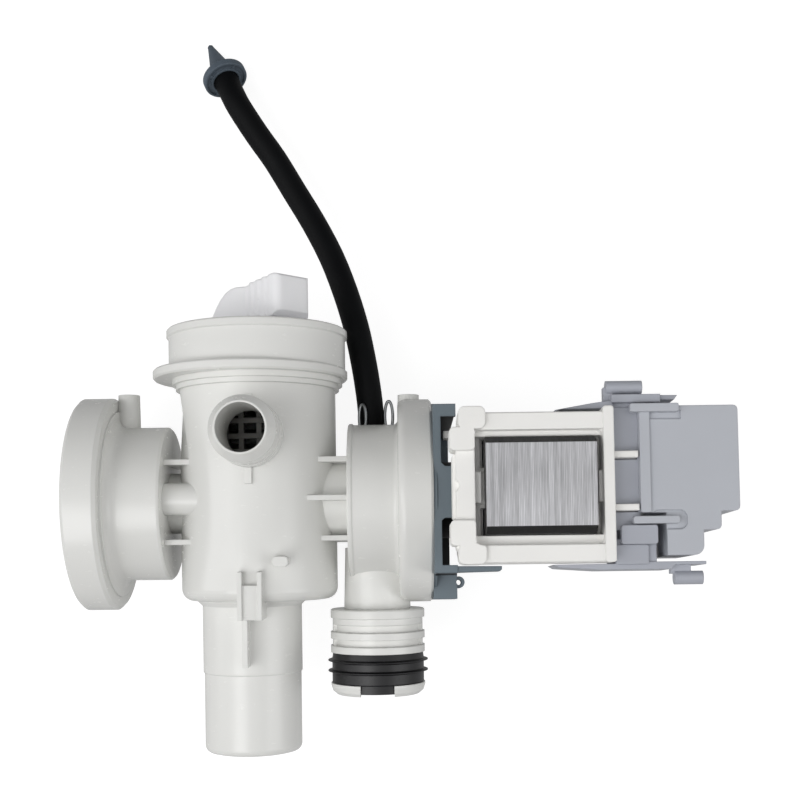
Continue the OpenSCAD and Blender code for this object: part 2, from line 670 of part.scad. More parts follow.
module filter_cap() color(milky) at_axis() {
    ring_y = cap_seat_y + 4;
    difference() {
        turned_y([[strainer_r + gap, cap_seat_y + gap], [cap_r - 0.8, cap_seat_y + gap],
            [cap_r, cap_seat_y + 1],
            [cap_r, cap_disc_y + cap_disc_t - 0.6], [cap_r - 0.6, cap_disc_y + cap_disc_t],
            [0, cap_disc_y + cap_disc_t],
            [0, cap_disc_y], [strainer_r + gap, cap_disc_y]]);
        difference() {
            along_y(ring_y - 1.3, ring_y + 1.3, cap_r + 1);
            along_y(ring_y - 2, ring_y + 2, cap_r - 1.9);
        }
    }
    grip();
}
module cap_gasket() color(black) at_axis() {
    section = (cap_bore_r - soft - (cap_r - 1.9) - soft) / 2;
    translate([0, cap_seat_y + 4, 0]) rotate([-90, 0, 0]) rotate_extrude()
        translate([cap_bore_r - soft - section, 0]) circle(section, $fn = 32);
}
// Basket of rings and bars, open at both ends
module strainer() color(warm_white) at_axis() {
    low = -body_low + wall + gap;
    high = cap_disc_y;
    pitch = (cap_seat_y - 4 - low) / strainer_rings;
    bore = strainer_r - strainer_t;
    for (i = [0:strainer_rings - 1]) let (y = low + i * pitch)
        turned_y([[bore, y], [strainer_r, y], [strainer_r, y + strainer_bar], [bore, y + strainer_bar]]);
    turned_y([[bore, cap_seat_y - 4], [strainer_r, cap_seat_y - 4], [strainer_r, high], [bore, high]]);
    difference() {
        intersection() {
            along_y(low + 0.4, cap_seat_y - 3, strainer_r - 0.2);
            for (k = [0:strainer_bars / 2 - 1]) rotate([0, 360 * k / strainer_bars - 8, 0])
                span([-strainer_bar / 2, strainer_bar / 2], [low, cap_seat_y], [-strainer_r, strainer_r]);
        }
        along_y(low - 1, cap_seat_y, bore + 0.2);
    }
}

// Bracket: plug in the volute's mouth, rotor can, windowed cage and locking tab
module cage_window(points) {
    translate([volute_out, 0, cage_top - cage_wall - eps]) linear_extrude(cage_wall + 2 * eps)
        polygon(points);
}
module motor_bracket() color(blue_grey) clocked() difference() {
    face = volute_out + 1.2;
    tongue = 8.2;
    strip = 2.5;
    open = cage_len + eps;
    eye = [volute_out + 8.6, -cage_low - 2.6, 0];
    union() {
        turned_x([[0, mouth_x], [mouth_r - gap, mouth_x], [mouth_r - gap, volute_out],
            [mouth_r + 1.6, volute_out], [mouth_r + 1.6, face], [can_r, face],
            [can_r, can_end - 1], [can_r - 1, can_end], [0, can_end]]);
        difference() {
            span([volute_out, cage_x], [-cage_low, cage_high], [-cage_top, cage_top]);
            span([face, cage_x + eps], [cage_wall - cage_low, cage_high - cage_wall],
                [cage_wall - cage_top, cage_top - cage_wall]);
            cage_window([[strip, cage_high - 4], [strip, tongue + 1.2], [strip + 1.2, tongue],
                [open, tongue - 0.2], [open, cage_high - 4]]);
            cage_window([[strip, -tongue - 1.2], [strip + 1, -tongue - 0.4], [open, -tongue - 0.2],
                [open, strip - cage_low], [strip, strip - cage_low]]);
        }
        translate([volute_out, -cage_low, cage_top - 8]) linear_extrude(7.6)
            polygon([[0, 0], [21, 0.4], [21.6, 1], [21.6, 2], [0, 2.2]]);
        span([volute_out, volute_out + 8], [-volute_flange_r + 0.6, -cage_low + eps], [-8, 14]);
        translate(eye) along_z(6, 12, 2, $fn = 32);
    }
    translate(eye) along_z(4, 14, 0.9, $fn = 32);
    difference() {
        along_x(mouth_x + 3, mouth_x + 5.6, mouth_r + 1);
        along_x(mouth_x + 2, mouth_x + 6.6, mouth_r - gap - 2);
    }
    along_x(mouth_x - eps, mouth_x + holder_len, holder_r + soft);
    along_x(mouth_x, can_end - can_wall - bush_len, can_bore);
    along_x(mouth_x, can_end - can_wall, bush_r);
}
module bracket_seal() color(black) at_axis() {
    section = (gap + 2 - 2 * soft) / 2;
    translate([mouth_x + 4.3, 0, 0]) rotate([0, 90, 0]) rotate_extrude()
        translate([mouth_r - soft - section, 0]) circle(section, $fn = 32);
}

// Laminated U-core: yoke with bevelled edges, two legs, pole shoes round the rotor can
module stator_core() color(steel) clocked() {
    bevel = 2.3;
    bevel_h = 3.6;
    shoe = pole_bore_r + 4.6;
    shoe_top = block_low - 1.6;
    shoe_low = -pole_bore_r + 1.2;
    translate([core_x, 0, 0]) rotate([90, 0, 90]) linear_extrude(stack_len) difference() {
        union() {
            polygon([[-leg_out, 0], [-leg_out, yoke_top - bevel_h], [bevel - leg_out, yoke_top],
                [leg_out - bevel, yoke_top], [leg_out, yoke_top - bevel_h], [leg_out, 0]]);
            polygon([[-shoe, shoe_low], [-shoe, shoe_top - 3], [3 - shoe, shoe_top], [shoe - 3, shoe_top],
                [shoe, shoe_top - 3], [shoe, shoe_low]]);
        }
        translate([-leg_in, shoe_low - 1]) square([2 * leg_in, yoke_low - shoe_low + 1]);
        circle(pole_bore_r);
    }
}

// Rectangular ring round one leg: the space of a winding
module winding(side, grow) {
    inner = 1.4 - grow;
    outer = 4.6 + grow;
    mid = side * (leg_in + leg_out) / 2;
    half = leg_w / 2;
    difference() {
        slab([core_x - outer, core_end + outer], [mid - half - outer, mid + half + outer],
            [block_low + 3 - grow, frame_low - 2 + grow], 2);
        span([core_x - inner, core_end + inner], [mid - half - inner, mid + half + inner], [0, yoke_top]);
    }
}
module coil_windings() color(copper) clocked() for (s = [-1, 1]) winding(s, 0);

// Coil frame: block round both windings, rim with stepped corner bosses, pocket for the yoke
module coil_frame() color(warm_white) clocked() difference() {
    half = coil_w / 2;
    high = half - 1.4;
    bar = 5.6;
    boss = [frame_low + 2, rim_top + 1.6];
    left = coil_x + 7.8;
    right = coil_end - 3.3;
    slit = 1.2;
    ledge = rim_top - 3.2;
    union() {
        slab([block_x, coil_end], [1.6 - half, high - 0.2], [block_low, frame_low + eps], 3);
        slab([coil_x + 2.6, coil_end], [-half, high], [frame_low, rim_top - 1.2], 1.5);
        slab([left - 1, right + 1], [high - bar, high - 0.3], [frame_low, rim_top], 0.8);
        slab([left - 1, right + 1], [0.3 - half, bar - half], [frame_low, rim_top], 0.8);
        slab([coil_x + 2.8, left + 3.4], [half - 6.8, half + 0.2], boss, 2);
        slab([coil_x, left + 0.1], [half - 13.4, half - 6.2], boss, 1.4);
        slab([coil_x, left + 0.2], [bar - half, 13.4 - half], boss, 1.4);
        slab([coil_x + 2.4, left + 3.2], [-half - 0.2, bar + 0.6 - half], boss, 2);
        slab([coil_x + 1.9, left], [4 - half, high - 4], [frame_low, rim_top], 1);
        slab([coil_x + 0.9, left], [14 - half, half - 14], [frame_low, rim_top - 2.6], 1);
        slab([right, coil_end], [-half, half], [frame_low, rim_top + 0.6], 0.8);
        for (y = rib_places) span([coil_end - eps, coil_end + rib_len], [y - rib_t / 2, y + rib_t / 2],
            [frame_low - 2, rim_top - 3]);
        span([block_x - 4.4, block_x + eps], [18, 20.4], [block_low + 5, block_low + 10]);
    }
    slab([left, right], [bar - half, high - bar], [ledge, rim_top + 2], 2);
    span([core_x - slit, core_end + slit], [-leg_out - gap, leg_out + gap], [yoke_low, rim_top + 1]);
    for (s = [-1, 1]) {
        flank = s > 0 ? [4.6, leg_out + gap] : [-leg_out - gap, -5.2];
        leg = s > 0 ? [leg_in - gap, leg_out + gap] : [-leg_out - gap, gap - leg_in];
        span([left, right], flank, [yoke_low - 1, rim_top + 1]);
        span([core_x - slit, core_end + slit], leg, [yoke_low - 4, rim_top + 1]);
        span([core_x - gap, core_end + gap], leg, [0, yoke_top]);
        winding(s, 0.1);
    }
    translate([coil_x + 0.9, 0, 0]) along_z(rim_top - 2.6, rim_top + 1, 2);
}

// Cable clip: a half-round channel along X, open below, on its stem
module cable_clip(x, y, stem_x, stem_y) {
    z = term_top - cable_r - 0.3;
    bore = cable_r - 0.9;
    difference() {
        union() {
            translate([0, y, z]) along_x(x[0], x[1], cable_r, $fn = 48);
            span(stem_x, stem_y, [z - cable_r, z + 0.8]);
        }
        translate([0, y, z]) along_x(x[0] + 1.2, x[1] + eps, bore, $fn = 48);
        span([x[0] + 1.2, x[1] + eps], [y - bore, y + bore], [z - cable_r - eps, z]);
    }
}
// Terminal carrier: plate between the coil frame's ribs, gripping arms, latch block and cable clips
module terminal_housing() color(light_grey) clocked() difference() {
    half = coil_w / 2;
    low = term_top - carrier_depth;
    rail = -half - 2.2;
    block = half - 11.5;
    block_end = coil_end + 13.8;
    high = half + 1.9;
    arm_tip = coil_end - arm_len;
    union() {
        slab([term_x, plate_x], [-half, half + 0.4], [low, term_top], 1);
        translate([0, 0, low - 2]) linear_extrude(carrier_depth + 2) {
            polygon([[arm_tip, half - 1.1], [arm_tip + 1.5, half], [coil_end - 6, high],
                [coil_end + 1, high + 1], [coil_end + 1, half], [coil_end - 0.3, half + 0.3],
                [arm_tip + 3, half + 0.2]]);
            polygon([[arm_tip, -half - 0.4], [arm_tip + 1.5, rail + 0.9], [coil_end - 4, rail],
                [coil_end + 18.1, rail], [coil_end + 19.6, rail + 1.4], [coil_end + 29.2, rail + 1.4],
                [coil_end + 29.2, -half + 0.2], [plate_x - eps, -half + 0.2], [coil_end, -half - 0.3]]);
        }
        span([coil_end + 0.5, coil_end + 15.7], [high, high + 2.5], [term_top - 8, term_top + 1.6]);
        span([coil_end + 0.5, plate_x], [half - eps, high + eps], [term_top - 8, term_top - 1]);
        translate([0, 0, term_top - 8]) linear_extrude(8) polygon([[coil_end + 15, high + 0.9],
            [coil_end + 20.4, high + 0.9], [coil_end + 21.4, high + 2.3], [coil_end + 15, high + 2.4]]);
        cable_clip([coil_end - 0.8, coil_end + 10.6], high + 5.3, [coil_end - 1.6, coil_end + 1.4],
            [high, high + 5.3]);
        cable_clip([coil_end + 19.5, coil_end + 28.4], rail - 2.7, [coil_end + 18.4, coil_end + 24.7],
            [rail - 1.4, rail + 1.8]);
        slab([coil_end + 2.4, block_end - 0.1], [-half + 5.6, -block], [term_top - 1, term_top + 3], 0.8);
        slab([coil_end + 0.9, coil_end + 11.1], [-half - 0.6, 5.5 - half],
            [term_top - 1, term_top + 0.9], 0.6);
        span([plate_x - eps, block_end], [-half - 0.6, -block], [term_top - 9, term_top - 0.4]);
        span([plate_x - eps, cover_x + 4.8], [-half, -9.2], [low, low + 2]);
    }
    for (y = rib_places) span([term_x - eps, coil_end + rib_len + gap],
        [y - rib_t / 2 - gap, y + rib_t / 2 + gap], [frame_low - 2 - gap, term_top + 9]);
    span([coil_end + 1.4, coil_end + 2.5], [7.3 - half, 10.1 - half], [term_top - 3, term_top + 1]);
}

// Terminal cover: stepped box, open below and towards the carrier, with lips that hook over it
module cover_outline(inset) {
    step_1 = cover_end - 5.9;
    step_2 = cover_end - 11.5;
    low = 2 - coil_w / 2;
    r = max(1.4 - inset, 0.3);
    shelf_1 = -8.5 + inset;
    shelf_2 = -14.3 + inset;
    polygon(concat([[cover_x + inset, cover_high - inset]],
        arc([cover_end - inset - r, cover_high - inset - r], r, 90, 0, 3),
        arc([cover_end - inset - r, shelf_1 + r], r, 0, -90, 3),
        [[step_1 - inset, shelf_1]],
        arc([step_1 - inset - r, shelf_2 + r], r, 0, -90, 3),
        [[step_2 - inset, shelf_2]],
        arc([step_2 - 3, low + 3], 3 - inset, 0, -90),
        [[cover_x + 5.2 + inset, low + inset], [cover_x + 5.2 + inset, -8.8 + inset],
        [cover_x + inset, -8.8 + inset]]));
}
module terminal_cover() color(light_grey) clocked() {
    low = cover_top - cover_depth;
    recess = cover_top - 0.8;
    difference() {
        translate([0, 0, low]) linear_extrude(cover_depth) cover_outline(0);
        translate([0, 0, low - eps]) linear_extrude(cover_depth - cover_wall + eps) cover_outline(cover_wall);
        span([cover_x - eps, cover_x + cover_wall + eps], [-6, cover_high - 3], [low - eps, term_top - 4]);
        span([cover_x + 0.5, cover_x + 10.3], [cover_high - 4.2, cover_high - 1.5], [recess, cover_top + 1]);
        slab([cover_x + 0.5, cover_x + 11.6], [-14.1, -8], [recess, cover_top + 1], 2.4);
    }
    slab([plate_x - 0.4, cover_x + 0.3], [-8.8, cover_high], [term_top + 0.1, cover_top + 0.9], 0.6);
    slab([cover_x - 5.8, cover_x + 9.3], [cover_high - 2.1, cover_high + 0.5],
        [term_top + 1.7, cover_top + 2], 0.6);
    slab([cover_x - 5.4, cover_x + 8.9], [-12.3, -10], [recess - 0.4, cover_top + 1.8], 0.6);
}
module terminals() color(brass) clocked() for (y = [-1.5, 11.5])
    span([plate_x, plate_x + 9], [y - 3.15, y + 3.15], [term_top - 10, term_top - 9.2]);

// Rotor and its bearings
module bearing_holder() color(warm_white) at_axis() difference() {
    along_x(mouth_x, mouth_x + holder_len, holder_r);
    along_x(mouth_x - eps, mouth_x + 3, bush_r + 1);
    along_x(mouth_x, mouth_x + holder_len + eps, bush_r);
}
module shaft_seal() color(black) at_axis() turned_x([[shaft_r + soft, mouth_x + 0.4],
    [bush_r, mouth_x + 0.2],
    [bush_r + 1, mouth_x + 0.2], [bush_r + 1, mouth_x + 2.8], [bush_r, mouth_x + 3],
    [shaft_r + 0.6, mouth_x + 3],
    [shaft_r + soft, mouth_x + 1.2]]);
module bush(from, to) {
    turned_x([[shaft_r + run, from], [bush_r, from], [bush_r, to], [shaft_r + run, to]]);
}
module front_bearing() color(warm_white) at_axis() bush(mouth_x + 3, mouth_x + holder_len);
module rear_bearing() color(warm_white) at_axis() bush(can_end - can_wall - bush_len, can_end - can_wall);
module rotor_shaft() color(steel) at_axis() turned_x([[0, shaft_tip], [shaft_r - 0.4, shaft_tip],
    [shaft_r, shaft_tip + 0.4], [shaft_r, can_end - can_wall - 0.6],
    [shaft_r - 0.3, can_end - can_wall - gap],
    [0, can_end - can_wall - gap]]);
module rotor_magnet() color(black) at_axis() turned_x([[shaft_r, core_x - 1],
    [magnet_r - 0.6, core_x - 1],
    [magnet_r, core_x - 0.4], [magnet_r, core_end - 1], [magnet_r - 0.6, core_end - 0.4],
    [shaft_r, core_end - 0.4]]);
module drive_dog() color(warm_white) at_axis() difference() {
    union() {
        along_x(dog_x, dog_end, dog_hub_r);
        sector_x(dog_x, dog_end, dog_r, dog_angle, 0);
    }
    along_x(dog_x - eps, dog_end + eps, shaft_r);
}
// Open impeller: blades on a hub, with a pocket for the drive dog that leaves a stop inside it
module impeller() color(black) at_axis() {
    back = dog_end;
    nose = shaft_tip - 1.2;
    pocket_r = dog_r + 0.5;
    difference() {
        union() {
            turned_x(concat([[0, nose]], arc([pocket_r - 1, nose + 3], 3, -90, 0),
                [[pocket_r + 2, back], [0, back]]));
            for (k = [0:blades - 1]) rotate([360 * k / blades, 0, 0])
                span([nose + 3, back - 0.4], [-blade_t / 2, blade_t / 2], [pocket_r + 1, impeller_r]);
            along_x(back - 1.8, back, impeller_r - 2 * blade_t);
        }
        difference() {
            along_x(dog_x - gap, back + eps, pocket_r);
            difference() {
                sector_x(dog_x - 2 * gap, back + 2 * eps, pocket_r + eps, dog_angle, 180);
                along_x(dog_x - 1, back + 1, dog_hub_r + gap);
            }
        }
        along_x(shaft_tip - gap, back + eps, shaft_r + run);
    }
}

filter_case();
circulation_port();
drain_volute();
outlet_barrel();
outlet_seal();
valve_flap();
drain_hose();
hose_clip();
drain_plug();
filter_cap();
cap_gasket();
strainer();
motor_bracket();
bracket_seal();
stator_core();
coil_frame();
coil_windings();
terminal_housing();
terminal_cover();
terminals();
bearing_holder();
front_bearing();
rear_bearing();
shaft_seal();
rotor_shaft();
rotor_magnet();
drive_dog();
impeller();
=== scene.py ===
"""Dresses the washer drain pump: its stage, its drain hose and the finish of every piece."""

import math

import bpy
from bpy.props import FloatProperty, FloatVectorProperty, PointerProperty
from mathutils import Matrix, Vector


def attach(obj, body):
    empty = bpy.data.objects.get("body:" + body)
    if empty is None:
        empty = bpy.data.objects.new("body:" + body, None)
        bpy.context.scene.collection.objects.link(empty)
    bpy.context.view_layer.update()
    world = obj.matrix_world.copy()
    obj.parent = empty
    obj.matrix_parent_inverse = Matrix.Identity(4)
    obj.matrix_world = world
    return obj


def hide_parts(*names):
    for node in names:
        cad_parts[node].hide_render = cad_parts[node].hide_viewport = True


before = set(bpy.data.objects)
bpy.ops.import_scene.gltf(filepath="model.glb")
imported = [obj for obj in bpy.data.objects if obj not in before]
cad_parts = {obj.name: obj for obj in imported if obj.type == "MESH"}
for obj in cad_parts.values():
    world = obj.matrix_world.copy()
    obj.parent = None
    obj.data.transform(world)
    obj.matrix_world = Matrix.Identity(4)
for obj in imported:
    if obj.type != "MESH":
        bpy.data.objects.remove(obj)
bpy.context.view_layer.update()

bl_info = {
    "name": "Washer drain pump",
    "version": (1, 0, 0),
    "blender": (4, 5, 0),
    "location": "View3D > Sidebar > Pump",
    "description": "Stage, hose and finishes of a washing machine drain pump",
    "category": "Object",
}

MM = 0.001

# Height of the pump and filter axes, and the hose's route from the chamber to the plug, in millimetres
AXIS = 47
HOSE_ROUTE = (
    (39, 25, -15), (39, 33, -15), (37.9, 43, -15.2), (36.1, 54, -16.5), (33.8, 65, -18.5),
    (30, 78, -21.5), (25, 91.5, -25), (18.4, 105, -28.7), (11.2, 117.5, -31.2), (3.9, 130, -32.4),
    (-3, 140, -32.6), (-9.4, 150.2, -33.1), (-12.2, 155.9, -34.9), (-15.2, 162.7, -37.6),
)
# Ears of the hose clip: angle about the hose, length along it, and whether the loop stands outward
CLIP_EARS = ((10, 10.9, True), (122, 9.4, False))
# Half the width of an ear, how far its middle stands off the turns, and its foot, in millimetres
EAR_HALF = 1.45
EAR_STANDOFF = 1.3
EAR_FOOT = 0.6
# Places of the clip's two turns along the hose, and their clearance from it, in millimetres
CLIP_TURNS = (0.7, 2.0)
CLIP_CLEARANCE = 0.1
# Steps of the hose between two points of its route, points to a turn of wire, and sides of the plug's nose
HOSE_STEPS = 3
TURN_POINTS = 40
NOSE_SIDES = 48
# Nose of the plug as radius and distance from the hose's end, in millimetres
PLUG_NOSE = ((5.4, 2.2), (5, 2.5), (4.7, 3.4), (2.8, 10.4), (1.1, 16.9), (0.8, 17.5), (0, 17.9))
# Low and high corner of the space inside the motor bracket's cage, in millimetres, which is darkened by
# painted shade
CAGE_INSIDE = ((60.5, -25.9, 15.5), (68.5, 28.9, 77.6))
# Width over which that painted shade fades out, in millimetres, and the share of the plastic's tone that it
# leaves
FADE = 0.3
PAINTED_SHADE_SHARE = 0.03
# Depth of the parting line against the skin's, and where its slope begins and ends, in millimetres
PARTING_DEPTH = 6
PARTING_SLOPE = (0.1, 0.25)
# Place of the camera across the pump, in millimetres, and its upward shift as a share of the picture
CAMERA_PLACE = (49, -13.7)
CAMERA_SHIFT = 0.175
# Point that the lamps face, in millimetres, and their distance from it and half the floor's width, in metres
LAMP_TARGET = (40, 20, AXIS)
LAMP_DISTANCE = 1.25
FLOOR_REACH = 4
# Grey that the floor gives to rays other than the camera's
FLOOR_BOUNCE = (0.3, 0.3, 0.3)
# How far along Y a direction points where the fill light is weakest, and the share of it that is lost there
FILL_REACH = 0.7
FILL_LOSS = 0.95


def linear(red, green, blue):
    """A display colour, 0 to 255 a channel, as the linear values that a shader takes."""
    shares = (channel / 255 for channel in (red, green, blue))
    return tuple(s / 12.92 if s <= 0.04045 else ((s + 0.055) / 1.055) ** 2.4 for s in shares)


def colour(label, description, red, green, blue):
    """A colour setting whose default is given as it is displayed."""
    return FloatVectorProperty(name=label, description=description, subtype="COLOR", size=3, min=0, max=1,
                               default=linear(red, green, blue))


class PumpColours(bpy.types.PropertyGroup):
    case: colour("Case", "White mouldings of the filter case, chambers and outlet", 231, 231, 228)
    cap: colour("Cap", "Milky filter cap and its grip", 246, 246, 249)
    # The strainer's dark grey is painted shade: the basket sits deep inside the filter case.
    strainer: colour("Strainer", "Basket inside the filter case", 98, 97, 94)
    bracket: colour("Bracket", "Blue-grey motor bracket", 106, 118, 126)
    carrier: colour("Terminal carrier", "Grey terminal carrier with its cable clips", 174, 177, 186)
    cover: colour("Terminal cover", "Light grey terminal cover", 188, 191, 198)
    coil: colour("Coil frame", "Warm white coil frame", 248, 247, 244)
    steel: colour("Laminations", "Sheet edges of the motor's core", 200, 200, 203)
    wire: colour("Clip wire", "Bright wire of the hose clip", 165, 168, 170)
    copper: colour("Copper", "Motor windings", 184, 115, 51)
    brass: colour("Brass", "Blade terminals", 181, 160, 85)
    hose: colour("Hose", "Black rubber of the drain hose", 9, 10, 12)
    rubber: colour("Seals", "Black rubber of the seals and the flap", 17, 17, 20)
    plug: colour("Plug", "Slate rubber of the hose plug", 80, 90, 100)
    magnet: colour("Magnet", "Rotor magnet", 40, 40, 43)
    bush: colour("Bushes", "Bearing bushes and their holder", 222, 218, 208)
    floor: colour("Floor", "Studio floor", 150, 150, 150)


class PumpSizes(bpy.types.PropertyGroup):
    hose_diameter: FloatProperty(name="Hose diameter", description="Outside diameter of the drain hose",
                                 default=9.4 * MM, min=9 * MM, max=9.8 * MM, unit="LENGTH")
    clip_wire: FloatProperty(name="Clip wire", description="Thickness of the hose clip's wire",
                             default=1.1 * MM, min=0.8 * MM, max=1.4 * MM, unit="LENGTH")
    edge: FloatProperty(name="Moulded edge", description="Radius that softens the edges of the mouldings",
                        default=0.5 * MM, min=0, max=1.5 * MM, unit="LENGTH")
    sheet: FloatProperty(name="Lamination", description="Thickness of one sheet of the motor's core",
                         default=0.5 * MM, min=0.3 * MM, max=1 * MM, unit="LENGTH")
    camera_height: FloatProperty(name="Camera height", description="Height of the camera above the axes",
                                 default=420 * MM, min=0.2, max=2, unit="LENGTH")
    lens: FloatProperty(name="Lens", description="Focal length on a 36 mm sensor, in millimetres",
                        default=54, min=20, max=200)
    roll: FloatProperty(name="Camera roll", description="Turn of the camera about its line of sight",
                        default=math.radians(-0.75), subtype="ANGLE")
    key_light: FloatProperty(name="Key light", description="Power of the softbox above the pump",
                             default=5.3, min=0, max=100, unit="POWER")
    strip_light: FloatProperty(name="Strip light", description="Power of the low strip on the left",
                               default=2.2, min=0, max=100, unit="POWER")
    side_light: FloatProperty(name="Side light", description="Power of the softbox on the right",
                              default=2.2, min=0, max=100, unit="POWER")
    fill_light: FloatProperty(name="Fill light", description="Strength of the light from the sides",
                              default=0.98, min=0, max=2)
    floor_glow: FloatProperty(name="Floor glow", description="Strength that the floor adds to its own shade",
                              default=0.85, min=0, max=1)


class Wire:
    """A socket of a node tree. Arithmetic on it adds Math nodes."""

    def __init__(self, tree, socket):
        self.tree = tree
        self.socket = socket

    def maths(self, operation, first, second=0.0):
        return self.tree.node("ShaderNodeMath", {"operation": operation}, {0: first, 1: second})

    def __add__(self, other):
        return self.maths("ADD", self, other)

    def __sub__(self, other):
        return self.maths("SUBTRACT", self, other)

    def __rsub__(self, other):
        return self.maths("SUBTRACT", other, self)

    def __mul__(self, other):
        return self.maths("MULTIPLY", self, other)

    def floor(self):
        return self.maths("FLOOR", self)

    def fraction(self):
        return self.maths("FRACT", self)

    def size(self):
        return self.maths("ABSOLUTE", self)

    __radd__ = __add__
    __rmul__ = __mul__


class Shading:
    """A node tree that takes nodes, values and links."""

    def __init__(self, tree):
        self.tree = tree

    def node(self, kind, settings=None, sockets=None, output=0):
        """Adds a node, with its settings first and then the values or links of its sockets."""
        made = self.tree.nodes.new(kind)
        for key, value in (settings or {}).items():
            setattr(made, key, value)
        for key, value in (sockets or {}).items():
            self.feed(made.inputs[key], value)
        return Wire(self, made.outputs[output])

    def feed(self, socket, value):
        if isinstance(value, Wire):
            self.tree.links.new(value.socket, socket)
        elif socket.type == "RGBA":
            socket.default_value = (*value[:3], 1)
        else:
            socket.default_value = value

    def steps(self, value, low, high):
        """A ramp from 0 to 1 between two values."""
        return self.node("ShaderNodeMapRange", {"clamp": True},
                         {"Value": value, "From Min": low, "From Max": high, "To Min": 0.0, "To Max": 1.0})

    def part(self, vector, axis):
        return self.node("ShaderNodeSeparateXYZ", None, {0: vector}, output=axis)

    def seen(self):
        """1 for the camera's own rays, which show the background."""
        return self.node("ShaderNodeLightPath", output="Is Camera Ray")

    def mix(self, share, first, second):
        return self.node("ShaderNodeMix", {"data_type": "RGBA"}, {0: share, 6: first, 7: second}, output=2)


class Finish(Shading):
    """A procedural material round one Principled shader, placed by the part's own coordinates in metres."""

    def __init__(self, name, **settings):
        self.material = bpy.data.materials.new(name)
        self.material.use_nodes = True
        super().__init__(self.material.node_tree)
        self.shader = self.tree.nodes["Principled BSDF"]
        self.set(**settings)

    def set(self, **settings):
        """Feeds the shader's sockets; base_color stands for Base Color."""
        for key, value in settings.items():
            name = " ".join(word.capitalize() for word in key.split("_")).replace("Ior", "IOR")
            self.feed(self.shader.inputs[name], value)
        return self

    def own(self, output="Object"):
        """The part's own coordinates, or its own normal."""
        return self.node("ShaderNodeTexCoord", output=output)

    def noise(self, scale, detail=2.0, roughness=0.5):
        """Noise from 0 to 1; scale is its cells to the metre along X, Y and Z."""
        place = self.node("ShaderNodeVectorMath", {"operation": "MULTIPLY"}, {0: self.own(), 1: scale})
        return self.node("ShaderNodeTexNoise", {"noise_dimensions": "3D"},
                         {"Vector": place, "Scale": 1.0, "Detail": detail, "Roughness": roughness})

    def within(self, low, high):
        """1 inside a box of the part's own coordinates, given in millimetres."""
        mask = None
        for axis in range(3):
            place = self.part(self.own(), axis)
            above = self.steps(place, low[axis] * MM, (low[axis] + FADE) * MM)
            side = above * (1 - self.steps(place, (high[axis] - FADE) * MM, high[axis] * MM))
            mask = mask * side if mask else side
        return mask

    def relief(self, height, depth, edge=0.0):
        """Bump of a given depth in metres over edges softened to a given radius."""
        sockets = {"Strength": 1.0, "Distance": depth, "Height": height}
        if edge > 0:
            sockets["Normal"] = self.node("ShaderNodeBevel", {"samples": 6}, {"Radius": edge})
        return self.set(normal=self.node("ShaderNodeBump", None, sockets))


def shade(tone, factor):
    """A tone made darker or lighter."""
    return tuple(channel * factor for channel in tone)


def moulded(name, tone, edge, roughness=0.42, mottle=0.04, peel=0.012, painted_shade_box=None, parting=False,
            **settings):
    """Injection moulded plastic: clouded colour, scuffed gloss and the fine skin of the mould, and painted
    shade inside a box where one is given.
    """
    finish = Finish(name, **settings)
    cloud = finish.noise((55, 55, 55), detail=3.0)
    skin = finish.noise((1400, 1400, 1400), detail=2.0)
    scuff = finish.steps(finish.noise((260, 700, 260), detail=5.0, roughness=0.7), 0.6, 0.78)
    colour_here = finish.mix(cloud, shade(tone, 1 - mottle), shade(tone, 1 + mottle))
    if painted_shade_box:
        # Painted shade: inside the box the colour goes nearly black, standing in for the shade of a deep
        # space.
        colour_here = finish.mix(finish.within(*painted_shade_box), colour_here, shade(tone, PAINTED_SHADE_SHARE))
    finish.set(base_color=colour_here, roughness=roughness + (cloud - 0.5) * 0.12 + scuff * 0.12)
    height = skin + finish.noise((300, 300, 300)) * 1.5
    if parting:
        seam = (finish.part(finish.own(), 2) - AXIS * MM).size()
        outside = finish.steps(seam, PARTING_SLOPE[0] * MM, PARTING_SLOPE[1] * MM)
        height = height + PARTING_DEPTH - outside * PARTING_DEPTH
    finish.relief(height, peel * MM, edge)
    return finish.material


def rubber(name, tone, edge, roughness=0.55, gloss=0.3):
    """Moulded or extruded rubber: matt, with a little bloom and a fine grain."""
    finish = Finish(name, specular_ior_level=gloss)
    bloom = finish.steps(finish.noise((90, 90, 90), detail=4.0), 0.45, 0.8)
    grain = finish.noise((2200, 2200, 2200))
    finish.set(base_color=finish.mix(bloom * 0.5, tone, shade(tone, 1.9)), roughness=roughness + grain * 0.15)
    finish.relief(grain, 0.02 * MM, edge)
    return finish.material


def laminated(name, tone, sheet):
    """Edges of stamped sheets stacked along X and rubbed along Y, with painted shade on the bevels and
    flanks, which are darker than the top face.
    """
    finish = Finish(name, metallic=0.75)
    along = finish.part(finish.own(), 0) * (1 / sheet)
    own = finish.node("ShaderNodeTexWhiteNoise", {"noise_dimensions": "1D"}, {"W": along.floor()})
    seam = 1 - finish.steps((along.fraction() - 0.5).size(), 0.38, 0.5)
    streak = finish.noise((3200, 110, 110), detail=3.0, roughness=0.6)
    rub = finish.noise((130, 35, 35), detail=3.0)
    tint = finish.steps(own * 0.14 + streak * 0.5 + rub * 0.36, 0.34, 0.66)
    # Painted shade: faces turned away from +Z are darkened, the flanks to a dark grey and the bevels nearly
    # black, standing in for the dark reflections on them.
    up = finish.part(finish.own("Normal"), 2)
    rubbed = finish.mix(seam * (0.25 + tint * 0.75), shade(tone, 0.45), shade(tone, 1.3))
    painted_side_shade = finish.mix(seam * (0.2 + tint * 0.8), shade(tone, 0.14), shade(tone, 0.4))
    painted_shade_off_top = finish.mix(finish.steps(up, 0.15, 0.4), painted_side_shade, shade(tone, 0.07))
    finish.set(base_color=finish.mix(finish.steps(up, 0.75, 0.97), painted_shade_off_top, rubbed),
               roughness=0.36 + streak * 0.2)
    finish.relief(seam * 0.6 + streak * 0.4, 0.05 * MM, 0.15 * MM)
    return finish.material


